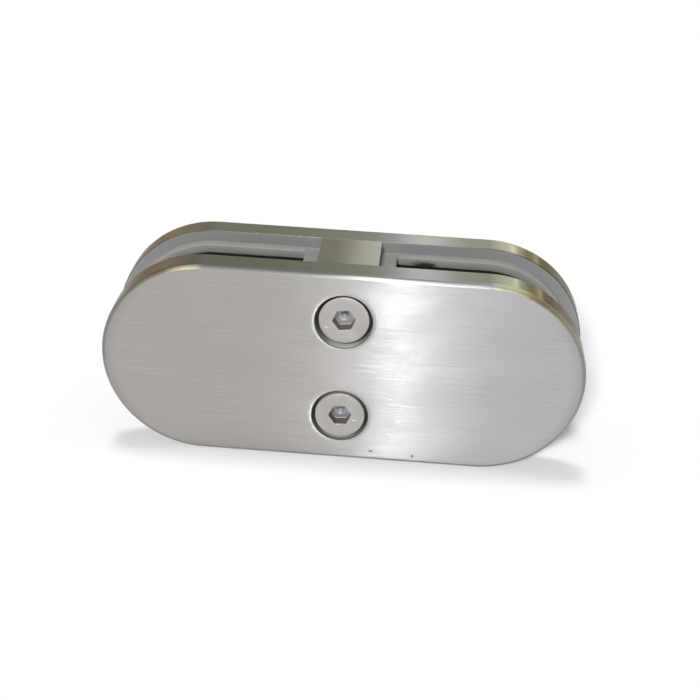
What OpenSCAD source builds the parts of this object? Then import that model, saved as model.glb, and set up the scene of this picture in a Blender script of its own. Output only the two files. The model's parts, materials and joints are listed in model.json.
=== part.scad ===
// Double glass panel clamp: a front half with a solid bridge, a flat rear plate drawn
// up to it by two low-head socket screws, and a rubber insert in each open slot.
// Millimetres. X runs along the clamp, the show face looks towards -Y, and the clamp
// stands on its straight lower edge at Z = 0, centred on the origin in X and Y.

/* [Plates] */
// Overall length of both plates
plate_length = 96; // [84:1:160]
// Height of both plates, and the diameter of their round ends
plate_height = 41; // [38:0.5:60]
// Thickness of the front plate
front_thickness = 5.6; // [5:0.1:10]
// Thickness of the rear plate
rear_thickness = 5.4; // [4:0.1:10]
// Clear distance between the two plates
slot_width = 11.7; // [9:0.1:24]
// Radius along the outer edge of each show face
edge_radius = 0.8; // [0.3:0.1:1.5]
// Chamfer along the inner edge of each plate
inner_chamfer = 0.12; // [0.05:0.01:0.4]

/* [Bridge] */
// Width of the bridge between the two slots
bridge_width = 12; // [10:0.5:20]
// Chamfer round the end of the bridge, where it meets the rear plate
seam_chamfer = 0.2; // [0.1:0.05:0.5]

/* [Screws] */
// Distance between the two screw axes
screw_spacing = 21; // [16:0.5:24]
// Nominal thread diameter
thread_diameter = 6; // [5:0.5:7]
// Diameter of the low cylindrical head
head_diameter = 10; // [9:0.5:12]
// Height of the head
head_height = 4; // [3:0.1:5]
// Chamfer round the top of the head
head_chamfer = 0.35; // [0.1:0.05:0.6]
// Size of the hexagon socket across its flats
socket_size = 4; // [3:0.5:5]
// Depth of the hexagon socket, without its drill point
socket_depth = 2.3; // [1.5:0.1:2.6]
// Turn of the upper screw's socket from flats level
upper_socket_turn = 8; // [0:1:59]
// Turn of the lower screw's socket from flats level
lower_socket_turn = 5; // [0:1:59]
// Depth of the upper screw's head below the show face
upper_head_sink = 0.85; // [0:0.05:1]
// Depth of the lower screw's head below the show face
lower_head_sink = 0.2; // [0:0.05:1]
// Wall left behind each blind tapped hole, at the rear face
tap_wall = 1; // [0.6:0.1:1.5]
// Chamfer round the tip of each screw
tip_chamfer = 0.8; // [0.4:0.1:1.2]
// Chamfer at the mouth of each tapped hole
tap_chamfer = 0.4; // [0.2:0.1:0.8]

/* [Inserts] */
// Thickness of each rubber cheek at its bead, on either side of the glass
cheek_thickness = 1.6; // [1:0.1:3]
// Distance from the plates' outline in to the outline of the inserts
insert_inset = 2.4; // [1:0.1:5]
// Width of the raised bead along each cheek's edge
bead_width = 1.7; // [1:0.1:3]
// Height of the bead over the field of the cheek
bead_height = 0.7; // [0.3:0.1:0.9]
// Thickness of the rubber web that the glass edge meets
web_thickness = 3.3; // [2:0.1:6]

/* [Clearances] */
// Gap all round a screw head in its counterbore
head_clearance = 0.75; // [0.3:0.05:1]
// Gap all round a screw's shank in the bridge
shank_clearance = 0.3; // [0.15:0.05:0.6]
// Gap all round a screw's thread in the rear plate
thread_clearance = 0.05; // [0.02:0.01:0.1]
// Gap between the upper screw's tip and the bottom of its hole
tip_clearance = 0.85; // [0.3:0.05:1.2]

/* [Hidden] */
$fn = 96;
// Overrun of a cut past the face that it opens
cut = 1;
steel = "silver";
bright_steel = "gainsboro";
rubber = "dimgray";

end_radius = plate_height / 2;
end_offset = plate_length / 2 - end_radius;
clamp_depth = front_thickness + slot_width + rear_thickness;
front_face_y = -clamp_depth / 2;
rear_face_y = clamp_depth / 2;
slot_front_y = front_face_y + front_thickness;
slot_rear_y = slot_front_y + slot_width;
upper_screw_z = end_radius + screw_spacing / 2;
lower_screw_z = end_radius - screw_spacing / 2;
tap_depth = rear_thickness - tap_wall;
screw_reach = front_thickness + slot_width + tap_depth - tip_clearance;
screw_length = screw_reach - upper_head_sink - head_height;
glass_gap = slot_width - 2 * cheek_thickness;

// Solid whose thickness, drawn along +Z from its outer face, runs along +Y from y
module facing_rear(y) {
    translate([0, y, end_radius])
        rotate([-90, 0, 0])
            children();
}

// Solid whose thickness, drawn along +Z from its outer face, runs along -Y from y
module facing_front(y) {
    translate([0, y, end_radius])
        rotate([90, 0, 0])
            children();
}

// Half of a plate's section: centre line on Y, outer face at Y = 0, rounded outer edge
module plate_section(thickness) {
    difference() {
        union() {
            translate([0, edge_radius])
                square([end_radius, thickness - edge_radius]);
            square([end_radius - edge_radius, thickness]);
            translate([end_radius - edge_radius, edge_radius])
                circle(edge_radius);
        }
        translate([end_radius, thickness])
            rotate(45)
                square(inner_chamfer * sqrt(2), center = true);
    }
}

// Round-ended plate along X, its outer face at Z = 0 and its inner face at Z = thickness
module plate(thickness) {
    for (side = [-1, 1])
        translate([side * end_offset, 0, 0])
            rotate_extrude()
                plate_section(thickness);
    rotate([90, 0, 90])
        translate([0, 0, -end_offset])
            linear_extrude(2 * end_offset) {
                plate_section(thickness);
                mirror([1, 0])
                    plate_section(thickness);
            }
}

// Bridge that keeps the plates apart, with a chamfer round its rear end
module bridge() {
    half = bridge_width / 2;
    reach = slot_width + front_thickness / 2;
    start_y = slot_front_y - front_thickness / 2;
    translate([0, start_y, 0])
        intersection() {
            linear_extrude(plate_height)
                bridge_section(half, -half, reach);
            translate([half, 0, 0])
                rotate([0, -90, 0])
                    linear_extrude(bridge_width)
                        bridge_section(plate_height, 0, reach);
        }
}

// Rectangle from low to high in X and 0 to reach in Y, chamfered at its far corners
module bridge_section(high, low, reach) {
    polygon([
        [low, 0],
        [high, 0],
        [high, reach - seam_chamfer],
        [high - seam_chamfer, reach],
        [low + seam_chamfer, reach],
        [low, reach - seam_chamfer],
    ]);
}

// Counterbore and clearance hole for a screw whose head lies sink below the show face
module screw_recess(z, sink) {
    translate([0, front_face_y, z])
        rotate([-90, 0, 0]) {
            translate([0, 0, -cut])
                cylinder(d = head_diameter + 2 * head_clearance, h = cut + sink + head_height);
            cylinder(d = thread_diameter + 2 * shank_clearance, h = clamp_depth);
        }
}

// Blind tapped hole in the rear plate's inner face, chamfered at its mouth
module tapped_hole(z) {
    bore = thread_diameter / 2 + thread_clearance;
    translate([0, slot_rear_y, z])
        rotate([-90, 0, 0]) {
            translate([0, 0, -cut])
                cylinder(r = bore, h = cut + tap_depth);
            translate([0, 0, -cut])
                cylinder(r1 = bore + tap_chamfer + cut, r2 = bore, h = cut + tap_chamfer);
        }
}

// Low-head socket screw along +Y, with the top of its head sink below the show face
module socket_screw(z, sink, turn) {
    translate([0, front_face_y + sink, z])
        rotate([-90, 0, 0])
            difference() {
                union() {
                    cylinder(
                        d1 = head_diameter - 2 * head_chamfer,
                        d2 = head_diameter,
                        h = head_chamfer
                    );
                    translate([0, 0, head_chamfer])
                        cylinder(d = head_diameter, h = head_height - head_chamfer);
                    translate([0, 0, head_height])
                        screw_shank();
                }
                rotate([0, 0, -turn])
                    hexagon_socket();
            }
}

// Shank from the head's underside at Z = 0 to its chamfered tip
module screw_shank() {
    cylinder(d = thread_diameter, h = screw_length - tip_chamfer);
    translate([0, 0, screw_length - tip_chamfer])
        cylinder(
            d1 = thread_diameter,
            d2 = thread_diameter - 2 * tip_chamfer,
            h = tip_chamfer
        );
}

// Hexagon socket with the drill point at its bottom, opening towards -Z
module hexagon_socket() {
    translate([0, 0, -cut])
        cylinder(d = socket_size / cos(30), h = cut + socket_depth, $fn = 6);
    translate([0, 0, socket_depth - socket_size / 8])
        cylinder(d1 = socket_size, d2 = 0, h = socket_size / 4);
}

// Outline of an insert, grown inwards by inset, from the bridge side at start outwards
module insert_outline(inset, start) {
    radius = end_radius - inset;
    translate([end_offset, 0])
        circle(radius);
    translate([start, -radius])
        square([end_offset - start, 2 * radius]);
}

// Rubber insert for the slot on the +X side: two beaded cheeks joined by a web
module insert() {
    web_face = bridge_width / 2 + web_thickness;
    field_depth = glass_gap + 2 * bead_height;
    facing_rear(slot_front_y)
        difference() {
            linear_extrude(slot_width)
                insert_outline(insert_inset, bridge_width / 2);
            translate([0, 0, cheek_thickness])
                linear_extrude(glass_gap)
                    insert_outline(-cut, web_face);
            translate([0, 0, cheek_thickness - bead_height])
                linear_extrude(field_depth)
                    insert_outline(insert_inset + bead_width, web_face);
        }
}

module front_half() {
    color(steel)
        difference() {
            union() {
                facing_rear(front_face_y)
                    plate(front_thickness);
                bridge();
            }
            screw_recess(upper_screw_z, upper_head_sink);
            screw_recess(lower_screw_z, lower_head_sink);
        }
}

module rear_plate() {
    color(steel)
        difference() {
            facing_front(rear_face_y)
                plate(rear_thickness);
            tapped_hole(upper_screw_z);
            tapped_hole(lower_screw_z);
        }
}

module upper_screw() {
    color(bright_steel)
        socket_screw(upper_screw_z, upper_head_sink, upper_socket_turn);
}

module lower_screw() {
    color(bright_steel)
        socket_screw(lower_screw_z, lower_head_sink, lower_socket_turn);
}

module left_insert() {
    color(rubber)
        mirror([1, 0, 0])
            insert();
}

module right_insert() {
    color(rubber)
        insert();
}

front_half();
rear_plate();
upper_screw();
lower_screw();
left_insert();
right_insert();
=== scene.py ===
"""Looks of a double glass panel clamp: two brushed steel plates on a bridge, two low-head
socket screws with cut threads, and a beaded rubber insert in each slot."""

import json
import math

import bpy
import numpy as np
from mathutils import Matrix, Vector


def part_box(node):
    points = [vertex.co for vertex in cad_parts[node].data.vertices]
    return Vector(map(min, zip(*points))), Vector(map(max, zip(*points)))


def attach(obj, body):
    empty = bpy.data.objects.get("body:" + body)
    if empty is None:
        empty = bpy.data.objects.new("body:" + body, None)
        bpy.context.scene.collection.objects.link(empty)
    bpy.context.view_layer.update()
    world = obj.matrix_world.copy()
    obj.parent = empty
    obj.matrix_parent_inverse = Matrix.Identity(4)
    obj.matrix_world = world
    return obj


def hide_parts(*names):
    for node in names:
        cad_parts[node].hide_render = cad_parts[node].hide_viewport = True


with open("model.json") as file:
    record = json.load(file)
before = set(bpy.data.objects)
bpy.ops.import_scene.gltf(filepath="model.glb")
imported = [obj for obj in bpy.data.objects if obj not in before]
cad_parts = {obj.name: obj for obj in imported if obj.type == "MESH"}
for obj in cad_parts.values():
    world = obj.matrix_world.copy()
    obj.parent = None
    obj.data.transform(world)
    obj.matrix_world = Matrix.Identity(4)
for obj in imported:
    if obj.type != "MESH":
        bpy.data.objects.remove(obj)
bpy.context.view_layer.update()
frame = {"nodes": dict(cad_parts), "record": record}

MM = 0.001


def box_in_mm(node):
    """Lowest and highest corner of a node at rest, in millimetres."""
    return [np.array(corner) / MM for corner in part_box(node)]


# Sizes of the clamp in millimetres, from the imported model
MOUNTS = {mount["name"]: mount["pos_m"] for mount in frame["record"]["mounts"]}
PLATE_LOW, PLATE_HIGH = box_in_mm("front_half")
REAR_FACE_Y = box_in_mm("rear_plate")[1][1]
INSERT_LOW, INSERT_HIGH = box_in_mm("right_insert")
SCREW_LOW, SCREW_HIGH = box_in_mm("upper_screw")
END_RADIUS = (PLATE_HIGH[2] - PLATE_LOW[2]) / 2
END_OFFSET = PLATE_HIGH[0] - END_RADIUS
FRONT_FACE_Y = PLATE_LOW[1]
SLOT_FRONT_Y = INSERT_LOW[1]
SLOT_REAR_Y = INSERT_HIGH[1]
SLOT_MIDDLE_Y = (SLOT_FRONT_Y + SLOT_REAR_Y) / 2
HALF_SLOT = (SLOT_REAR_Y - SLOT_FRONT_Y) / 2
SCREW_OFFSET = MOUNTS["upper_screw_socket"][2] / MM - END_RADIUS


# ---------------------------------------------------------------- surfaces

def link_mesh(name, points, faces, material, smooth_angle=35):
    """Object from points in millimetres and a list of faces, smooth up to an angle in degrees."""
    mesh = bpy.data.meshes.new(name)
    mesh.from_pydata((points * MM).tolist(), [], faces)
    mesh.validate()
    mesh.polygons.foreach_set("use_smooth", np.ones(len(mesh.polygons), bool))
    mesh.set_sharp_from_angle(angle=math.radians(smooth_angle))
    mesh.materials.append(material)
    piece = bpy.data.objects.new(name, mesh)
    bpy.context.scene.collection.objects.link(piece)
    return piece


def ring_faces(rings, count):
    """Quads between neighbouring rings of count points each, closed round every ring."""
    ring = np.arange(rings - 1)[:, None] * count
    here = np.arange(count)[None, :]
    ahead = (here + 1) % count
    quads = np.stack(
        [ring + here, ring + ahead, ring + count + ahead, ring + count + here], axis=-1
    )
    return quads.reshape(-1, 4).tolist()


def capped_rings(grid, start, end):
    """Closed surface: a grid of rings (rings, points, 3) with a pole point before and after it."""
    rings, count, _ = grid.shape
    points = np.vstack([grid.reshape(-1, 3), start, end])
    start_pole = rings * count
    end_pole = start_pole + 1
    last_ring = start_pole - count
    here = np.arange(count)
    ahead = (here + 1) % count
    start_fan = np.stack([np.full(count, start_pole), ahead, here], axis=-1)
    end_fan = np.stack([np.full(count, end_pole), last_ring + here, last_ring + ahead], axis=-1)
    faces = ring_faces(rings, count) + start_fan.tolist() + end_fan.tolist()
    return outward(points, faces)


def outward(points, faces):
    """The same closed surface with its faces turned so that the volume they enclose is positive."""
    volume = 0.0
    for size in (3, 4):
        corners = np.array([face for face in faces if len(face) == size], int)
        if len(corners):
            a, b, c = (points[corners[:, index]] for index in (0, 1, 2))
            volume += np.einsum("ij,ij->", a, np.cross(b, c))
            if size == 4:
                d = points[corners[:, 3]]
                volume += np.einsum("ij,ij->", a, np.cross(c, d))
    if volume < 0:
        faces = [face[::-1] for face in faces]
    return points, faces


def merged(*surfaces):
    """One array of points and one list of faces from several closed surfaces."""
    points, faces = [], []
    offset = 0
    for surface_points, surface_faces in surfaces:
        points.append(surface_points)
        faces += [[index + offset for index in face] for face in surface_faces]
        offset += len(surface_points)
    return np.vstack(points), faces


def smoothstep(low, high, value):
    """0 below low, 1 above high, and an even S curve between them."""
    share = np.clip((value - low) / (high - low), 0, 1)
    return share * share * (3 - 2 * share)


# ---------------------------------------------------------------- socket screw

HEAD_RADIUS = SCREW_HIGH[0]
HEAD_HEIGHT = 4.0
HEAD_CHAMFER = 0.12
SCREW_END = SCREW_HIGH[1] - SCREW_LOW[1]
SCREW_SIDES = 144
SOCKET_FLAT = 2.0
SOCKET_DEPTH = 2.3
SOCKET_LIP = 0.05
DRILL_POINT = 0.5
CORNER_ROUND = 0.04
THREAD_RADIUS = 3.0
THREAD_PITCH = 1.0
THREAD_DEPTH = 0.61
THREAD_START = HEAD_HEIGHT + 0.4
THREAD_FADE = 1.2
THREAD_ROWS = 190
TIP_CHAMFER = 0.8
TIP_BEVEL_WIDTH = 0.1
TIP_BEVEL_HEIGHT = 0.02

# How far the thread's sharp form is cut off at its crests and roots, as a share of its depth
THREAD_FLAT = 0.14

# Degrees that each screw's socket is turned from flats level
SOCKET_TURN = {"upper_screw": 8, "lower_screw": 5}

# The socket from its drill point to its mouth: radius of the circle, share of the hexagon in
# its outline, and depth below the head's top
SOCKET_SECTION = np.array([
    (0.35, 0, SOCKET_DEPTH + 0.33),
    (1.0, 0, SOCKET_DEPTH + 0.02),
    (1.08, 0, SOCKET_DEPTH),
    (1.6, 0.6, SOCKET_DEPTH),
    (1.9, 0.94, SOCKET_DEPTH),
    (2.0, 1, SOCKET_DEPTH - 0.06),
    (2.0, 1, SOCKET_DEPTH * 0.66),
    (2.0, 1, SOCKET_DEPTH * 0.33),
    (2.0, 1, 0.07),
    (2.03, 1, 0.03),
    (2.1, 1, 0.0),
    (2.3, 0.7, 0.0),
    (2.6, 0, 0.0),
])

# The head from its flat top to the shank: radius, and depth below the top
HEAD_SECTION = np.array([
    (3.2, 0.0),
    (4.0, 0.0),
    (HEAD_RADIUS - HEAD_CHAMFER - 0.05, 0.0),
    (HEAD_RADIUS - HEAD_CHAMFER, 0.01),
    (HEAD_RADIUS - 0.05, 0.04),
    (HEAD_RADIUS - 0.01, HEAD_CHAMFER),
    (HEAD_RADIUS, HEAD_CHAMFER + 0.08),
    (HEAD_RADIUS, HEAD_HEIGHT - 0.15),
    (HEAD_RADIUS - 0.04, HEAD_HEIGHT - 0.04),
    (HEAD_RADIUS - 0.15, HEAD_HEIGHT),
    (THREAD_RADIUS + 0.25, HEAD_HEIGHT),
    (THREAD_RADIUS + 0.07, HEAD_HEIGHT + 0.07),
    (THREAD_RADIUS, HEAD_HEIGHT + 0.25),
])


def socket_radius(angle, turn):
    """Radius on each row of SOCKET_SECTION: circle * (1 - share) + hexagon * share.

    The hexagon is the distance to its flats over the cosine of the angle from the middle of
    the nearest flat, with the corners taken off, and it grows with the row's circle.
    """
    sector = math.pi / 3
    turned = angle - math.radians(turn)
    hexagon = SOCKET_FLAT / np.cos(turned % sector - sector / 2)
    hexagon = np.minimum(hexagon, SOCKET_FLAT / math.cos(sector / 2) - CORNER_ROUND)
    circle = SOCKET_SECTION[:, 0:1]
    share = SOCKET_SECTION[:, 1:2]
    return circle * (1 - share) + hexagon * circle / SOCKET_FLAT * share


def shank_radius(depth, angle):
    """Radius of the shank: crest - thread depth * trapezoid(depth / pitch - angle / full turn).

    The trapezoid is a triangle wave cut off at both ends, 0 on the crests and 1 in the roots.
    It fades in under the head, and the chamfer of the tip cuts the crests off.
    """
    phase = (depth / THREAD_PITCH - angle / (2 * math.pi)) % 1
    triangle = 1 - 2 * np.abs(phase - 0.5)
    trapezoid = np.clip(triangle * (1 + 2 * THREAD_FLAT) - THREAD_FLAT, 0, 1)
    fade = smoothstep(THREAD_START, THREAD_START + THREAD_FADE, depth)
    chamfer = THREAD_RADIUS - TIP_CHAMFER + (SCREW_END - depth)
    return np.minimum(THREAD_RADIUS - THREAD_DEPTH * trapezoid * fade, chamfer)


def socket_screw(top_y, axis_z, turn):
    """Low-head socket screw along +Y as one closed surface round its axis.

    A point at an angle on a ring is at radius * (cos, sin) of the angle from the axis, and at
    the ring's depth below the head's top: the socket's rings, then the head's, the threaded
    shank's and the flat of the tip.
    """
    angle = np.arange(SCREW_SIDES) * 2 * math.pi / SCREW_SIDES
    circle = np.ones(SCREW_SIDES)
    shank = np.linspace(THREAD_START, SCREW_END - TIP_BEVEL_HEIGHT, THREAD_ROWS)[:, None]
    tip_radius = THREAD_RADIUS - TIP_CHAMFER - TIP_BEVEL_WIDTH
    radius = np.vstack([
        socket_radius(angle, turn),
        HEAD_SECTION[:, 0:1] * circle,
        shank_radius(shank, angle),
        tip_radius * circle,
    ])
    depth = np.vstack([SOCKET_SECTION[:, 2:3], HEAD_SECTION[:, 1:2], shank, [[SCREW_END]]])
    grid = np.stack(
        [radius * np.cos(angle), top_y + depth * circle, axis_z + radius * np.sin(angle)], axis=-1
    )
    drill_point = [0, top_y + SOCKET_DEPTH + DRILL_POINT, axis_z]
    return capped_rings(grid, drill_point, [0, top_y + SCREW_END, axis_z])


def mark_socket(screw, points, top_y, axis_z):
    """Attributes that are 1 on the points inside the socket below its lip, and on its bottom."""
    corner_radius = 2 * SOCKET_FLAT / math.sqrt(3)
    from_axis = np.hypot(points[:, 0], points[:, 2] - axis_z)
    depth = points[:, 1] - top_y
    hollow = (from_axis < corner_radius) & (depth > SOCKET_LIP) & (depth < HEAD_HEIGHT)
    bottom = hollow & (depth > SOCKET_DEPTH - SOCKET_LIP)
    for label, inside in (("hollow", hollow), ("socket_bottom", bottom)):
        attribute = screw.data.attributes.new(label, "FLOAT", "POINT")
        attribute.data.foreach_set("value", inside.astype(np.float32))


# ---------------------------------------------------------------- rubber insert

SHEET_GAP = 0.02
INSERT_RADIUS = (INSERT_HIGH[2] - INSERT_LOW[2]) / 2
INSERT_START = INSERT_LOW[0]
WEB_FACE = MOUNTS["right_glass_slot"][0] / MM
WEB_CORNER = 0.25
WEB_SQUARENESS = 16
WEB_SIDES = 120
WEB_ROWS = 24
WEB_END = 1.0
WEB_CORNER_ROWS = 6
CHEEK_THICKNESS = 1.6
FIELD_INSET = 1.95
FIELD_HEIGHT = 0.9
OUTLINE_STEPS = 72
POLE_SHIFT = 4.0

# The cheek's section: distance in from its outline, and height over the plate it lies on
CHEEK_SECTION = np.array([
    (9.0, 0.0),
    (4.0, 0.0),
    (1.0, 0.0),
    (0.1, 0.0),
    (-0.14, 0.0),
    (-0.2, 0.04),
    (-0.2, 0.14),
    (-0.14, 0.3),
    (-0.08, 0.5),
    (-0.06, 0.7),
    (0.0, 0.84),
    (0.14, 0.93),
    (0.24, 1.0),
    (0.26, 1.06),
    (0.18, 1.14),
    (0.08, 1.22),
    (0.06, 1.3),
    (0.14, 1.38),
    (0.32, 1.46),
    (0.56, 1.53),
    (0.86, 1.58),
    (1.15, CHEEK_THICKNESS),
    (1.5, 1.57),
    (1.72, 1.5),
    (1.82, 1.38),
    (1.87, 1.2),
    (1.93, 1.02),
    (2.06, 0.92),
    (2.3, FIELD_HEIGHT),
    (4.0, FIELD_HEIGHT),
    (9.0, FIELD_HEIGHT),
])

# Waves of the bead's crest, which start at a height over the plate: how high each one is, and
# how fast it turns along X and Z in radians for each millimetre
WAVES_START = 1.0
CREST_WAVES = [(0.03, 0.9, 0.35), (0.02, -0.5, 1.1)]


def cheek_outlines(inset):
    """X and Z along the round-ended outline grown in by each of a column of insets.

    A row runs along the top from the web side to the end, round the half circle of radius
    INSERT_RADIUS - inset about END_OFFSET, back along the bottom and up the web side.
    """
    radius = INSERT_RADIUS - inset
    start = INSERT_START + inset
    share = np.arange(OUTLINE_STEPS) / OUTLINE_STEPS
    sweep = np.arange(2 * OUTLINE_STEPS) / (2 * OUTLINE_STEPS) * math.pi
    straight = np.ones(OUTLINE_STEPS)
    run = start + (END_OFFSET - start) * share
    end_x = END_OFFSET + radius * np.sin(sweep)
    x = np.hstack([run, end_x, END_OFFSET + start - run, start * straight])
    web_z = radius * (2 * share - 1)
    z = np.hstack([radius * straight, radius * np.cos(sweep), -radius * straight, web_z])
    return x, z


def cheek(plate_y, rise):
    """Beaded cheek on the plate face at plate_y, growing towards rise (+1 or -1) along Y.

    Each row of CHEEK_SECTION sweeps the outline of its inset at its height, and both faces
    close to a pole. The bead's crest is lifted by the sum of the sines of CREST_WAVES.
    """
    x, z = cheek_outlines(CHEEK_SECTION[:, 0:1])
    height = CHEEK_SECTION[:, 1:2]
    waves = sum(lift * np.sin(x * along + z * up) for lift, along, up in CREST_WAVES)
    crest = smoothstep(WAVES_START, CHEEK_THICKNESS, height)
    y = plate_y + rise * (SHEET_GAP + height + crest * waves)
    grid = np.stack([x, y, z + END_RADIUS], axis=-1)
    # The poles stand inside the innermost rows, nearer to the round end than to the web
    pole_x = (END_OFFSET + INSERT_START) / 2 + POLE_SHIFT
    back, front = (
        [pole_x, plate_y + rise * (SHEET_GAP + level), END_RADIUS] for level in (0.0, FIELD_HEIGHT)
    )
    return capped_rings(grid, back, front)


def web():
    """Web between the cheeks: a rounded rectangle of X and Y swept along Z, with soft ends.

    The section is the superellipse |x|^n + |y|^n = 1 at the web's half sizes, where n is
    WEB_SQUARENESS. Towards each end it shrinks by a quarter round of radius WEB_CORNER.
    """
    angle = np.arange(WEB_SIDES) * 2 * math.pi / WEB_SIDES
    power = 2 / WEB_SQUARENESS
    across = np.sign(np.cos(angle)) * np.abs(np.cos(angle)) ** power
    along = np.sign(np.sin(angle)) * np.abs(np.sin(angle)) ** power
    turn = np.linspace(0, math.pi / 2, WEB_CORNER_ROWS)
    corner_height = INSERT_RADIUS - WEB_CORNER + WEB_CORNER * np.sin(turn)
    corner_shrink = WEB_CORNER * (1 - np.cos(turn))
    straight = np.linspace(WEB_END - INSERT_RADIUS, INSERT_RADIUS - WEB_END, WEB_ROWS)
    height = np.concatenate([-corner_height[::-1], straight, corner_height])[:, None]
    shrink = np.concatenate([corner_shrink[::-1], 0 * straight, corner_shrink])[:, None]
    half_x = (WEB_FACE - INSERT_START) / 2 - SHEET_GAP
    half_y = HALF_SLOT - SHEET_GAP
    centre_x = (WEB_FACE + INSERT_START) / 2
    grid = np.stack([
        centre_x + (half_x - shrink) * across,
        SLOT_MIDDLE_Y + (half_y - shrink) * along,
        END_RADIUS + height * np.ones(WEB_SIDES),
    ], axis=-1)
    low = [centre_x, SLOT_MIDDLE_Y, END_RADIUS - INSERT_RADIUS]
    high = [centre_x, SLOT_MIDDLE_Y, END_RADIUS + INSERT_RADIUS]
    return capped_rings(grid, low, high)


def insert(side):
    """Rubber insert of the slot on the given side (+1 right, -1 left): two cheeks and a web."""
    points, faces = merged(cheek(SLOT_FRONT_Y, 1), cheek(SLOT_REAR_Y, -1), web())
    if side < 0:
        points = points * np.array([-1, 1, 1])
        faces = [face[::-1] for face in faces]
    return points, faces


# ---------------------------------------------------------------- shader expressions

class Signal:
    """A node socket that takes part in expressions: each operator adds a Math node."""

    def __init__(self, shading, socket):
        self.shading = shading
        self.socket = socket

    def __add__(self, other):
        return self.shading.function("ADD", self, other)

    def __radd__(self, other):
        return self.shading.function("ADD", other, self)

    def __sub__(self, other):
        return self.shading.function("SUBTRACT", self, other)

    def __rsub__(self, other):
        return self.shading.function("SUBTRACT", other, self)

    def __mul__(self, other):
        return self.shading.function("MULTIPLY", self, other)

    def __rmul__(self, other):
        return self.shading.function("MULTIPLY", other, self)

    def __truediv__(self, other):
        return self.shading.function("DIVIDE", self, other)

    def __rtruediv__(self, other):
        return self.shading.function("DIVIDE", other, self)


class Shading:
    """The nodes of a material or a world, added one by one as expressions."""

    def __init__(self, tree):
        self.tree = tree
        tree.nodes.clear()

    def node(self, kind, settings=None, sockets=None, output=0):
        """Adds a node, makes its settings first, then fills or links its sockets.

        It gives the asked output of the node as a signal, or nothing where there is none.
        """
        node = self.tree.nodes.new(kind)
        for key, value in (settings or {}).items():
            if key == "stops":
                set_stops(node.color_ramp, value)
            else:
                setattr(node, key, value)
        for key, value in (sockets or {}).items():
            socket = node.inputs[key]
            if isinstance(value, Signal):
                self.tree.links.new(value.socket, socket)
            else:
                socket.default_value = value[:3] if socket.type == "VECTOR" else value
        return Signal(self, node.outputs[output]) if node.outputs else None

    def function(self, operation, first, second=0.0):
        """Math node of the given operation."""
        return self.node("ShaderNodeMath", {"operation": operation}, {0: first, 1: second})

    def absolute(self, value):
        """The value without its sign."""
        return self.function("ABSOLUTE", value)

    def length(self, first, second):
        """Length of the diagonal over two sides at right angles."""
        return self.function("SQRT", first * first + second * second)

    def step(self, value, low, high, start=0.0, end=1.0):
        """Goes smoothly from start to end while value goes from low to high."""
        return self.node(
            "ShaderNodeMapRange",
            {"interpolation_type": "SMOOTHSTEP"},
            {"Value": value, "From Min": low, "From Max": high, "To Min": start, "To Max": end},
        )

    def fall(self, value, low, high):
        """1 below low, falling smoothly to 0 above high."""
        return self.step(value, low, high, 1.0, 0.0)

    def between(self, value, rise, fall):
        """0 outside a stretch and 1 within it, given by the borders it fades in and out over."""
        return self.step(value, *rise) * self.fall(value, *fall)

    def ramp(self, value, stops):
        """Colour that runs through (value, colour) stops."""
        low, high = stops[0][0], stops[-1][0]
        shares = [((at - low) / (high - low), colour) for at, colour in stops]
        return self.node("ShaderNodeValToRGB", {"stops": shares}, {0: (value - low) / (high - low)})

    def axes(self, vector):
        """The three numbers of a vector."""
        return [self.node("ShaderNodeSeparateXYZ", {}, {0: vector}, axis) for axis in "XYZ"]

    def backdrop_share(self):
        """1 on rays that show the backdrop: from the camera, in gloss and through glass."""
        camera, gloss, glass = (
            self.node("ShaderNodeLightPath", {}, {}, ray)
            for ray in ("Is Camera Ray", "Is Glossy Ray", "Is Transmission Ray")
        )
        return self.function("MINIMUM", camera + gloss + glass, 1.0)


def set_stops(color_ramp, stops):
    """Fills a ramp with (share, colour) stops."""
    while len(color_ramp.elements) < len(stops):
        color_ramp.elements.new(0.5)
    for element, (share, colour) in zip(color_ramp.elements, stops):
        element.position = share
        element.color = colour


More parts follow.
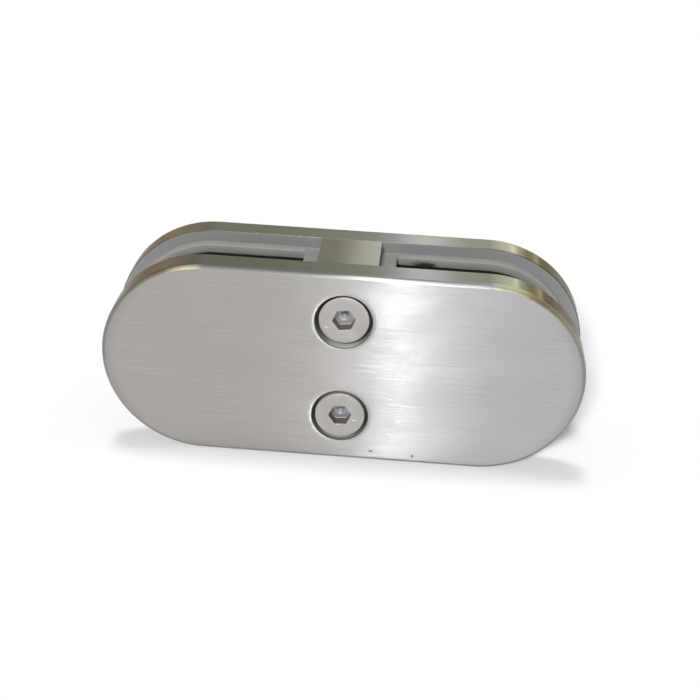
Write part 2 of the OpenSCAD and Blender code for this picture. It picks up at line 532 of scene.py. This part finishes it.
class Finish(Shading):
    """A material whose x, y and z are the place on the piece in millimetres."""

    def __init__(self, name):
        self.material = bpy.data.materials.new(name)
        self.material.use_nodes = True
        super().__init__(self.material.node_tree)
        self.place = self.node("ShaderNodeTexCoord", output="Object")
        self.x, self.y, self.z = (part * (1 / MM) for part in self.axes(self.place))

    def noise(self, vector, scale=1.0, detail=2.0):
        """Cloudy pattern from 0 to 1."""
        return self.node(
            "ShaderNodeTexNoise", {}, {"Vector": vector, "Scale": scale, "Detail": detail}, "Fac"
        )

    def stretched_noise(self, x, y, z, detail=2.0):
        """Cloudy pattern drawn out along the directions whose numbers change slowly."""
        return self.noise(self.node("ShaderNodeCombineXYZ", {}, {0: x, 1: y, 2: z}), 1.0, detail)

    def mix(self, share, first, second):
        """Colour that goes from first to second as share goes from 0 to 1."""
        return self.node("ShaderNodeMix", {"data_type": "RGBA"}, {0: share, 6: first, 7: second}, 2)

    def scaled(self, level, colour):
        """Colour made lighter or darker by the factor level."""
        return self.node("ShaderNodeVectorMath", {"operation": "SCALE"}, {0: colour, "Scale": level})

    def mottled(self, pattern, colour, spread):
        """Colour made lighter and darker by a pattern from 0 to 1, by spread in all."""
        return self.scaled(1 + (pattern - 0.5) * spread, colour)

    def bump(self, height, distance, strength=1.0, below=None):
        """Normal of a height pattern that is distance deep in metres, over the bump below it."""
        sockets = {"Height": height, "Distance": distance, "Strength": strength, "Filter Width": 0.01}
        if below is not None:
            sockets["Normal"] = below
        return self.node("ShaderNodeBump", {}, sockets)

    def spots(self, marks):
        """1 inside soft little ellipses, given by their middle in X and Z and their half sizes."""
        total = 0.0
        for x, z, half_x, half_z in marks:
            reach = self.length((self.x - x) / half_x, (self.z - z) / half_z)
            total = total + self.fall(reach, 0.3, 1.2)
        return total

    def principled(self, sockets):
        """Shader for metal and rubber alike, from the values of its sockets."""
        return self.node("ShaderNodeBsdfPrincipled", {}, sockets)

    def surfaced(self, shader):
        """The material, with shader as its surface."""
        self.node("ShaderNodeOutputMaterial", {}, {"Surface": shader})
        return self.material


def rgba(red, green, blue):
    """Linear colour with full opacity from display values of 0 to 255."""
    linear = []
    for value in (red, green, blue):
        share = value / 255
        linear.append(share / 12.92 if share <= 0.04045 else ((share + 0.055) / 1.055) ** 2.4)
    return (*linear, 1.0)


# ---------------------------------------------------------------- plate steel

EDGE_RADIUS = 0.8
BORE_RADIUS = 5.75

# Heights of the bumps in metres: brush lines, slow swells, the dish round each counterbore, the
# crown along the middle of the show face, and the bow of the whole face
LINE_HEIGHT = 0.000034
SWELL_HEIGHT = 0.0002
DISH_HEIGHT = 0.000025
CROWN_HEIGHT = 0.00005
BOW_HEIGHT = 0.0015

# How fast the patterns change for each millimetre along and across the clamp, and the slice
# of its pattern that the rims' brush lines are cut from
FACE_LINES_ALONG, FACE_LINES_ACROSS = 0.06, 7.5
RIM_LINES_ALONG, RIM_LINES_ACROSS, RIM_LINES_SLICE = 0.05, 5.0, 4.0
SWELLS_ALONG, SWELLS_ACROSS = 0.035, 0.11
BURRS_ALONG = 0.9

# The crown: where it dips, how far it takes to rise on both sides, and how far up it reaches
CROWN_DIP_X = 10.6
CROWN_RISE = 20.0
CROWN_REACH = 7.0

# Borders that looks fade over, along X, along Y, and as angles round the ends
FACE_TURN_X = (-5.0, 20.0)
PLAIN_RIM_X = ((-1.0, 9.0), (17.0, 27.0))
BURRED_RIM_X = ((-26.0, -20.0), (-7.0, -6.0))
SEAM_START_X = (-7.0, -5.5)
BRIDGE_LIT_X = (-3.5, 4.0)
FRONT_END_Y = (-2.0, -1.0)
RUN_UP_ANGLES = ((-0.1, 0.1), (0.4, 0.6))

# How far the painted highlight of the right end's rounded edge runs up the rim
RUN_UP = 0.8

# How much lighter or darker the steel is than its plain colour: painted shade near the outline of the
# round ends and along the rear plate's inner edge, painted highlights on the rear rim and the bridge,
# and brush streaks
ROLL_OFF_SHADE = 0.14
SEAM_SHADE = 0.5
REAR_HIGHLIGHT = 0.13
BRIDGE_HIGHLIGHT = (0.05, 0.8)
RIM_STREAKS = 0.2
BRIDGE_STREAKS = 0.3

# The face's plain tone turns from warmer on the left to cooler on the right: a painted reflection
# tint
FACE_LEFT = rgba(170, 167, 165)
FACE_RIGHT = rgba(172, 170, 171)
SPECK = rgba(118, 115, 113)
PLAIN_RIM = rgba(166, 166, 163)
# Painted glint on the burrs
BURR_GLINT = rgba(215, 212, 205)
LOWER_EDGE = rgba(150, 148, 143)
SLOT_FACE = rgba(172, 171, 171)
BORE_WALL = rgba(222, 222, 213)
# Painted shade at the counterbores' lip and sides
BORE_PAINTED_SHADE = rgba(136, 138, 128)
EDGE_TINT = (0.52, 0.48, 0.42, 1)

# Painted reflections, glints and highlights along the outline of the plates, on their rims and on the
# rounded edges of their show
# faces: angle past the end of the straight run, negative on the left, and the colour there
RIM_REFLECTIONS = [
    (-1.3, (92, 92, 88)),
    (-0.9, (88, 84, 76)),
    (-0.6, (118, 108, 94)),
    (-0.45, (136, 122, 103)),
    (-0.3, (126, 122, 110)),
    (-0.1, (143, 141, 128)),
    (0.0, (165, 166, 152)),
    (0.08, (185, 190, 172)),
    (0.2, (205, 205, 183)),
    (0.25, (225, 229, 202)),
    (0.3, (170, 172, 154)),
    (0.4, (125, 118, 96)),
    (0.46, (142, 136, 108)),
    (0.5, (166, 166, 136)),
    (0.55, (119, 111, 88)),
    (0.65, (117, 108, 96)),
    (0.8, (128, 128, 118)),
    (1.0, (105, 112, 103)),
    (1.3, (92, 92, 88)),
]
EDGE_REFLECTIONS = [
    (-1.3, (134, 133, 127)),
    (-0.75, (134, 127, 108)),
    (-0.4, (156, 147, 120)),
    (-0.28, (215, 206, 170)),
    (-0.15, (246, 240, 205)),
    (-0.06, (222, 219, 192)),
    (-0.01, (186, 186, 178)),
    (0.0, (176, 176, 174)),
    (0.05, (205, 205, 185)),
    (0.22, (222, 221, 186)),
    (0.33, (200, 195, 155)),
    (0.42, (160, 150, 112)),
    (0.55, (138, 128, 96)),
    (0.8, (148, 143, 124)),
    (1.3, (140, 139, 134)),
]

# Dark specks low on the show face: middle in X and Z, and half sizes
FACE_SPECKS = [(6.6, 2.2, 0.6, 0.35), (15.1, 1.7, 0.35, 0.5)]


class PlateSteel(Finish):
    """Stainless plate whose kinds of surface are told apart by their place.

    Show faces are brushed along X, rims and rounded edges are brushed along the outline with
    painted reflections and glints, and the slots' faces and the counterbores are matt.
    """

    def __init__(self):
        super().__init__("brushed_steel")
        self.measure()
        self.find_zones()
        self.lay_patterns()

    def measure(self):
        """Distances from the clamp's lines and axes, and the angle past the straight run."""
        self.across_end = self.function("MAXIMUM", self.absolute(self.x) - END_OFFSET, 0.0)
        self.level = self.absolute(self.z - END_RADIUS)
        self.reach = self.length(self.across_end, self.level)
        self.sweep = self.function("ARCTAN2", self.across_end, self.level)
        self.side_sweep = self.sweep * self.function("SIGN", self.x)
        self.from_screw = self.length(self.x, self.level - SCREW_OFFSET)
        self.from_middle = self.absolute(self.y - SLOT_MIDDLE_Y)
        self.from_seam = self.absolute(self.y - SLOT_REAR_Y)

    def find_zones(self):
        """1 on one kind of surface each, with soft borders."""
        self.in_front = self.fall(self.y, *FRONT_END_Y)
        self.bridge = self.fall(self.from_middle, HALF_SLOT - 0.02, HALF_SLOT)
        self.bore = self.in_front * self.fall(self.from_screw, BORE_RADIUS + 0.02, BORE_RADIUS + 0.06)

        # Both show faces start where the rounded edge of the thinner rear plate does
        show_start = REAR_FACE_Y - SLOT_MIDDLE_Y - EDGE_RADIUS
        self.show = self.step(self.from_middle, show_start, show_start + 0.5) * (1 - self.bore)

        # The rounded edge reaches as deep as its radius, and farther up the rim on the right, which
        # carries its painted highlight there
        skin = self.function("MINIMUM", self.y - FRONT_FACE_Y, REAR_FACE_Y - self.y)
        run_up = RUN_UP * self.between(self.side_sweep, *RUN_UP_ANGLES)
        shallow = self.fall(skin - run_up, EDGE_RADIUS - 0.3, EDGE_RADIUS - 0.1)
        edge_start = END_RADIUS - EDGE_RADIUS
        self.edge = self.step(self.reach, edge_start, edge_start + 0.15) * shallow
        self.rim = self.step(self.reach, END_RADIUS - 0.4, END_RADIUS - 0.25) * (1 - self.edge)

        inside = 1 - self.step(self.reach, END_RADIUS - 0.2, END_RADIUS - 0.1)
        self.slot = self.fall(self.from_middle, HALF_SLOT + 0.05, HALF_SLOT + 0.15) * inside

    def lay_patterns(self):
        """Brush lines along X on the faces and along the outline on the rims, and soft clouds."""
        face_lines = self.stretched_noise(
            self.x * FACE_LINES_ALONG, 0.0, self.z * FACE_LINES_ACROSS
        )
        self.rim_lines = self.stretched_noise(
            self.x * RIM_LINES_ALONG + self.sweep, self.y * RIM_LINES_ACROSS, RIM_LINES_SLICE
        )
        self.lines = face_lines * (1 - self.rim) + self.rim_lines * self.rim
        self.clouds = self.noise(self.place, scale=70.0, detail=3.0)

    def outline_reflections(self, stops):
        """Painted reflections along the outline, from display colours at angles past the straight
        run.
        """
        return self.ramp(self.side_sweep, [(angle, rgba(*colour)) for angle, colour in stops])

    def face_colour(self):
        """Brushed steel, darker near the outline of the round ends as painted shade, with a few
        specks.
        """
        # Warmer on the left, cooler on the right: painted reflection tint
        plain = self.mix(self.step(self.x, *FACE_TURN_X), FACE_LEFT, FACE_RIGHT)
        lined = self.mottled(self.lines, plain, spread=0.28)
        brushed = self.mottled(self.clouds, lined, spread=0.06)
        near_outline = self.step(self.reach, END_RADIUS - 3.0, END_RADIUS - 0.6)
        roll_off_shade_mask = near_outline * self.step(self.across_end, 8.0, 18.0)
        shaded = self.scaled(1 - roll_off_shade_mask * ROLL_OFF_SHADE, brushed)
        return self.mix(self.spots(FACE_SPECKS) * self.in_front, shaded, SPECK)

    def rim_colour(self):
        """Rim with painted reflections: plain grey in its middle stretch, painted highlights on the
        bridge and behind, painted shade at the rear plate's inner edge and painted glints on burrs.
        """
        plain = self.between(self.x, *PLAIN_RIM_X)
        reflected = self.mix(plain, self.outline_reflections(RIM_REFLECTIONS), PLAIN_RIM)
        # Painted highlights: the bridge lighter towards the right, and the rear rim lighter than the
        # front
        bridge_highlight = self.bridge * self.step(self.x, *BRIDGE_LIT_X, *BRIDGE_HIGHLIGHT)
        rear_highlight = (1 - self.in_front) * (1 - self.bridge) * REAR_HIGHLIGHT
        streaks = (self.rim_lines - 0.5) * (RIM_STREAKS + self.bridge * BRIDGE_STREAKS)
        lifted = self.scaled(1 + bridge_highlight + rear_highlight + streaks, reflected)
        # Painted shade along the rear plate's inner edge, from just left of the bridge rightwards
        inner_edge_shade = self.fall(self.from_seam, 0.12, 0.24) * self.step(self.x, *SEAM_START_X)
        return self.mix(self.burr_glints(), self.scaled(1 - inner_edge_shade * SEAM_SHADE, lifted), BURR_GLINT)

    def burr_glints(self):
        """1 on burrs here and there along the rear plate's inner edge, left of the bridge, painted
        bright as glints.
        """
        pattern = self.stretched_noise(self.x * BURRS_ALONG, 0.0, 0.0, detail=3.0)
        inner_edge = self.fall(self.from_seam, 0.1, 0.35) * self.between(self.x, *BURRED_RIM_X)
        return self.step(pattern, 0.52, 0.62) * inner_edge

    def edge_colour(self):
        """Painted highlights and reflections on the rounded edge's upper half, plain below."""
        upper_half = self.step(self.z, END_RADIUS - 6.0, END_RADIUS)
        return self.mix(upper_half, LOWER_EDGE, self.outline_reflections(EDGE_REFLECTIONS))

    def bore_colour(self):
        """Counterbore: light wall, with painted shade at its lip and at its sides.

        The painted shade at the lip is narrower in the upper counterbore than in the lower one.
        """
        lip = self.step(self.z, END_RADIUS - 1.0, END_RADIUS, 1.0, 0.4)
        shade_at_lip = self.fall((self.y - FRONT_FACE_Y) / lip, 0.9, 1.1)
        shade_at_side = self.step(self.absolute(self.x), 1.5, 4.2, 0.0, 0.8)
        return self.mix(self.function("MAXIMUM", shade_at_lip, shade_at_side), BORE_WALL, BORE_PAINTED_SHADE)

    def colour(self):
        """The colours of the kinds of surface, laid over each other."""
        colour = self.mix(self.rim, self.face_colour(), self.rim_colour())
        colour = self.mix(self.edge, colour, self.edge_colour())
        colour = self.mix(self.slot, colour, self.mottled(self.clouds, SLOT_FACE, spread=0.2))
        return self.mix(self.bore, colour, self.bore_colour())

    def face_form(self):
        """Bumps under the brush lines: dish, swells, crown and bow, one over the other."""
        past_bore = self.step(self.from_screw, BORE_RADIUS - 0.2, BORE_RADIUS + 0.7)
        dish = self.in_front * (1 - self.rim) * past_bore
        swells = self.stretched_noise(
            self.x * SWELLS_ALONG, self.y * SWELLS_ALONG, self.z * SWELLS_ACROSS, detail=1.0
        )
        beside_dip = self.step(self.absolute(self.x - CROWN_DIP_X), 0.0, CROWN_RISE)
        crown = beside_dip * self.fall(self.level, 0.0, CROWN_REACH) * self.in_front
        below_top = (2 * END_RADIUS - self.z) / (2 * END_RADIUS)
        form = self.bump(dish, DISH_HEIGHT)
        form = self.bump(swells, SWELL_HEIGHT, below=form)
        form = self.bump(crown, CROWN_HEIGHT, below=form)
        return self.bump(below_top * below_top, BOW_HEIGHT, below=form)

    def build(self):
        """Material: brushed metal on the show faces, plainer metal everywhere else."""
        shared = {
            "Base Color": self.colour(),
            "Metallic": 1 - self.bore * 0.85 - self.slot * 0.4,
        }
        face = self.principled(shared | {
            "Normal": self.bump(self.lines, LINE_HEIGHT, below=self.face_form()),
            "Roughness": 0.22,
            "Anisotropic": 1.0,
            "Anisotropic Rotation": 0.25,
        })
        sides = self.principled(shared | {
            "Normal": self.bump(self.lines, LINE_HEIGHT * 0.1),
            "Roughness": 0.2 + self.slot * 0.4 + self.bore * 0.3,
            "Specular Tint": EDGE_TINT,
        })
        return self.surfaced(self.node("ShaderNodeMixShader", {}, {0: self.show, 1: sides, 2: face}))


# ---------------------------------------------------------------- screw steel

HEAD_STEEL = rgba(178, 175, 170)
HEAD_SIDE = rgba(160, 159, 153)
NICK_GLINT = rgba(240, 240, 236)
# Painted shade on the socket's walls; its bottom stays lighter
SOCKET_WALL_SHADE = rgba(132, 124, 110)
SOCKET_BOTTOM = rgba(158, 158, 162)

# Nicks in the heads painted bright as glints, and a painted glint at the lower socket's edge: middle
# in X and Z, and half sizes
HEAD_NICKS_AND_GLINT = [(-3.4, 29.35, 0.45, 0.13), (2.9, 9.03, 0.6, 0.15), (-0.36, 7.9, 0.25, 0.12)]


def screw_steel():
    """Turned steel, warmer than the plates: mottled heads with nicks and painted glints, and painted
    shade on the socket's brownish walls.

    The side of the lower screw's head is duller than the rest.
    """
    steel = Finish("screw_steel")
    clouds = steel.noise(steel.place, scale=260.0, detail=4.0)
    beside_axis = steel.absolute(steel.z - END_RADIUS) - SCREW_OFFSET
    radius = steel.length(steel.x, beside_axis)
    top = steel.fall(radius, HEAD_RADIUS - 0.12, HEAD_RADIUS - 0.04)
    lower_screw = steel.fall(steel.z, END_RADIUS - 1.0, END_RADIUS)
    side = lower_screw * steel.step(radius, HEAD_RADIUS - 0.03, HEAD_RADIUS - 0.01)
    hollow, bottom = (
        steel.node("ShaderNodeAttribute", {"attribute_name": label}, {}, "Fac")
        for label in ("hollow", "socket_bottom")
    )
    head = steel.mottled(clouds, HEAD_STEEL, spread=0.36)
    colour = steel.mix(steel.spots(HEAD_NICKS_AND_GLINT) * top, head, NICK_GLINT)
    colour = steel.mix(side, colour, HEAD_SIDE)
    colour = steel.mix(hollow, colour, steel.mottled(clouds, SOCKET_WALL_SHADE, spread=0.8))
    colour = steel.mix(bottom, colour, steel.mottled(clouds, SOCKET_BOTTOM, spread=0.9))
    return steel.surfaced(steel.principled({
        "Base Color": colour,
        "Metallic": 1 - hollow * 0.5 - side * 0.8,
        "Roughness": 0.34 + (clouds - 0.5) * 0.2,
        "Normal": steel.bump(clouds, distance=0.00001, strength=0.5),
    }))


# ---------------------------------------------------------------- insert rubber

RUBBER_GREY = rgba(135, 134, 131)
RIDGE_HIGHLIGHT = rgba(150, 149, 145)
# Painted shade: the field between the beads is coloured black
FIELD_SHADE = rgba(34, 34, 33)
PATCH_DARK = rgba(52, 52, 50)

# Heights over the plates of the two ridges along the outer side of each cheek, painted paler as
# highlights
LOW_RIDGE, HIGH_RIDGE = 0.2, 1.3

# Dark patch on the right insert's rear cheek: middle in X and Z, half sizes, and how ragged
# its outline is
PATCH_X, PATCH_Z = 14.9, 37.2
PATCH_HALF_X, PATCH_HALF_Z = 2.7, 0.9
PATCH_RAGGED = 0.9
REAR_CHEEK_Y = (1.0, 1.1)


def insert_rubber():
    """Grey moulded rubber, with painted shade that makes the field between the beads black.

    Two ridges along the outer side of each cheek are painted paler as highlights, and the right
    insert has a dark patch.
    """
    rubber = Finish("insert_rubber")
    clouds = rubber.noise(rubber.place, scale=900.0, detail=4.0)
    across_end = rubber.function("MAXIMUM", rubber.absolute(rubber.x) - END_OFFSET, 0.0)
    reach = rubber.length(across_end, rubber.z - END_RADIUS)

    field_radius = INSERT_RADIUS - FIELD_INSET
    past_web = rubber.step(rubber.absolute(rubber.x), WEB_FACE - 0.05, WEB_FACE + 0.1)
    # Painted shade over the field between the beads
    shaded_field = rubber.fall(reach, field_radius, field_radius + 0.15) * past_web

    height = rubber.function("MINIMUM", rubber.y - SLOT_FRONT_Y, SLOT_REAR_Y - rubber.y)
    from_between = rubber.absolute(height - (LOW_RIDGE + HIGH_RIDGE) / 2)
    from_ridge = rubber.absolute(from_between - (HIGH_RIDGE - LOW_RIDGE) / 2)
    outer_side = rubber.step(reach, INSERT_RADIUS - 0.5, INSERT_RADIUS - 0.3)
    ridge_highlight = rubber.fall(from_ridge, 0.05, 0.2) * outer_side

    ragged = rubber.noise(rubber.place, scale=1500.0) * PATCH_RAGGED
    patch_reach = rubber.length(
        (rubber.x - PATCH_X) / PATCH_HALF_X, (rubber.z - PATCH_Z) / PATCH_HALF_Z
    )
    dark_patch = rubber.fall(patch_reach + ragged, 0.8, 1.7) * rubber.step(rubber.y, *REAR_CHEEK_Y)

    grey = rubber.mottled(clouds, RUBBER_GREY, spread=0.3)
    colour = rubber.mix(ridge_highlight, grey, RIDGE_HIGHLIGHT)
    colour = rubber.mix(shaded_field, colour, FIELD_SHADE)
    colour = rubber.mix(dark_patch, colour, PATCH_DARK)
    return rubber.surfaced(rubber.principled({
        "Base Color": colour,
        "Roughness": 0.55 + (clouds - 0.5) * 0.2,
        "Normal": rubber.bump(clouds, distance=0.00003, strength=0.5),
    }))


# ---------------------------------------------------------------- the clamp's pieces

plate_finish = PlateSteel().build()
screw_finish = screw_steel()
rubber_finish = insert_rubber()

for name in ("front_half", "rear_plate"):
    plate = frame["nodes"][name]
    plate.data.materials.clear()
    plate.data.materials.append(plate_finish)

for name, turn in SOCKET_TURN.items():
    low, high = box_in_mm(name)
    axis_z = (low[2] + high[2]) / 2
    points, faces = socket_screw(low[1], axis_z, turn)
    screw = link_mesh(name + "_cut", points, faces, screw_finish)
    mark_socket(screw, points, low[1], axis_z)
    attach(screw, name)
    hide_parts(name)

for name, side in (("left_insert", -1), ("right_insert", 1)):
    points, faces = insert(side)
    rubber = link_mesh(name + "_beaded", points, faces, rubber_finish, smooth_angle=50)
    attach(rubber, "front")
    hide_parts(name)


# ---------------------------------------------------------------- studio

WORLD_LIGHT = 0.30
FLOOR_GLOW = 0.182
FLOOR_GREY = 0.8
FLOOR_HALF = 3000.0

# How far up the walls give way to the ceiling, from 0 at the horizon to 1 overhead
CEILING_START = (0.25, 0.42)

# Grey of the ceiling in front, and behind by how far to the side it lies for each step back
CEILING_FRONT = 0.60
CEILING_BEHIND = [
    (-0.2, 0.31),
    (-0.105, 0.31),
    (-0.06, 0.45),
    (-0.015, 0.60),
    (0.03, 0.60),
    (0.055, 0.76),
    (0.2, 0.76),
]

DAYLIGHT = (0.95, 0.98, 1)
WARM_LIGHT = (1, 0.99, 0.95)
WHITE_LIGHT = (1, 1, 1)

# Where the windows stand in Y and Z, in metres
IN_FRONT = (-0.50, 0.055)
HIGH_IN_FRONT = (-0.25, 0.33)
HIGH_BEHIND = (0.40, 0.229)

# Windows: X, place in Y and Z, the height that they face, width and height, power, and colour
WINDOWS = {
    "window_left": (-0.0285, IN_FRONT, 0.055, (0.036, 0.10), 0.025, DAYLIGHT),
    "window": (0.0038, IN_FRONT, 0.055, (0.0103, 0.10), 0.184, DAYLIGHT),
    "window_right": (0.0250, IN_FRONT, 0.055, (0.024, 0.10), 0.049, DAYLIGHT),
    "window_far": (0.0729, IN_FRONT, 0.055, (0.070, 0.10), 0.042, DAYLIGHT),
    "high_window": (0.002, HIGH_IN_FRONT, 0.04, (0.045, 0.55), 0.170, DAYLIGHT),
    "high_window_far": (0.041, HIGH_IN_FRONT, 0.04, (0.031, 0.55), 0.030, WARM_LIGHT),
    "back_window": (0.0155, HIGH_BEHIND, 0.04, (0.020, 0.050), 0.006, WHITE_LIGHT),
}


def studio_world():
    """World with white walls all round under a grey ceiling, and an even light of its own."""
    world = bpy.data.worlds.new("studio")
    world.use_nodes = True
    sky = Shading(world.node_tree)
    across, depth, height = sky.axes(sky.node("ShaderNodeTexCoord", output="Generated"))
    side = across / sky.absolute(depth)
    behind = sky.ramp(side, [(at, (grey, grey, grey, 1)) for at, grey in CEILING_BEHIND])
    ceiling = sky.step(depth, -0.05, 0.05, CEILING_FRONT, behind)
    backdrop = sky.step(height, *CEILING_START, 1.0, ceiling)
    strength = WORLD_LIGHT + sky.backdrop_share() * (backdrop - WORLD_LIGHT)
    light = sky.node("ShaderNodeBackground", {}, {"Color": (1, 1, 1, 1), "Strength": strength})
    sky.node("ShaderNodeOutputWorld", {}, {"Surface": light})
    bpy.context.scene.world = world


def studio_floor():
    """Pale floor that keeps the clamp's shadow and is white elsewhere."""
    corners = np.array([(-1, -1, 0), (1, -1, 0), (1, 1, 0), (-1, 1, 0)]) * FLOOR_HALF
    paint = Finish("floor_white")
    pale = (FLOOR_GREY, FLOOR_GREY, FLOOR_GREY, 1)
    lit = paint.node("ShaderNodeBsdfDiffuse", {}, {"Color": pale})
    strength = paint.backdrop_share() * FLOOR_GLOW
    glow = paint.node("ShaderNodeEmission", {}, {"Color": (1, 1, 1, 1), "Strength": strength})
    material = paint.surfaced(paint.node("ShaderNodeAddShader", {}, {0: lit, 1: glow}))
    floor = link_mesh("floor", corners, [[0, 1, 2, 3]], material)


def place_light(name, light, place, target):
    """Object that holds a light at place, turned to target, out of the camera's sight."""
    holder = bpy.data.objects.new(name, light)
    direction = Vector(target) - Vector(place)
    holder.rotation_euler = direction.to_track_quat("-Z", "Y").to_euler()
    holder.location = place
    holder.visible_camera = False
    bpy.context.scene.collection.objects.link(holder)
    return holder


def window_lamp(name, x, place, target_z, size, power, colour):
    """Window at x and a place in Y and Z that is only seen in glossy metal.

    It faces the height target_z straight across the clamp, and its size is width and height.
    """
    light = bpy.data.lights.new(name, "AREA")
    light.shape = "RECTANGLE"
    light.size, light.size_y = size
    light.energy = power
    light.color = colour
    place_light(name, light, (x, *place), (x, 0, target_z)).visible_diffuse = False


def sky_lamp(name, place, angle, strength):
    """Far lamp as wide as angle in degrees that lights evenly and isn't seen in the metal."""
    light = bpy.data.lights.new(name, "SUN")
    light.angle = math.radians(angle)
    light.energy = strength
    place_light(name, light, place, (0, 0, 0)).visible_glossy = False


def camera_at(aim, azimuth, elevation, roll, distance, lens):
    """Camera at an azimuth from -Y and an elevation over the floor, rolled about its axis."""
    azimuth, elevation, roll = (math.radians(angle) for angle in (azimuth, elevation, roll))
    back = Vector((
        math.sin(azimuth) * math.cos(elevation),
        -math.cos(azimuth) * math.cos(elevation),
        math.sin(elevation),
    ))
    right = Vector((math.cos(azimuth), math.sin(azimuth), 0))
    up = back.cross(right)
    rolled_right = math.cos(roll) * right + math.sin(roll) * up
    rolled_up = -math.sin(roll) * right + math.cos(roll) * up
    lens_data = bpy.data.cameras.new("view")
    lens_data.lens = lens
    lens_data.sensor_width = 36
    camera = bpy.data.objects.new("view", lens_data)
    turn = Matrix((rolled_right, rolled_up, back)).transposed().to_4x4()
    camera.matrix_world = Matrix.Translation(Vector(aim) + distance * back) @ turn
    bpy.context.scene.collection.objects.link(camera)
    bpy.context.scene.camera = camera


studio_world()
studio_floor()
for name, window in WINDOWS.items():
    window_lamp(name, *window)
sky_lamp("front", (-0.105, -0.52, 0.33), angle=7, strength=2.43)
sky_lamp("top", (-0.05, 0.06, 0.55), angle=11, strength=1.08)
camera_at(
    (0.00138, -0.00939, 0.02405),
    azimuth=3.031,
    elevation=28.04,
    roll=2.659,
    distance=0.27359,
    lens=71.30,
)

bpy.context.scene.view_settings.view_transform = "Standard"
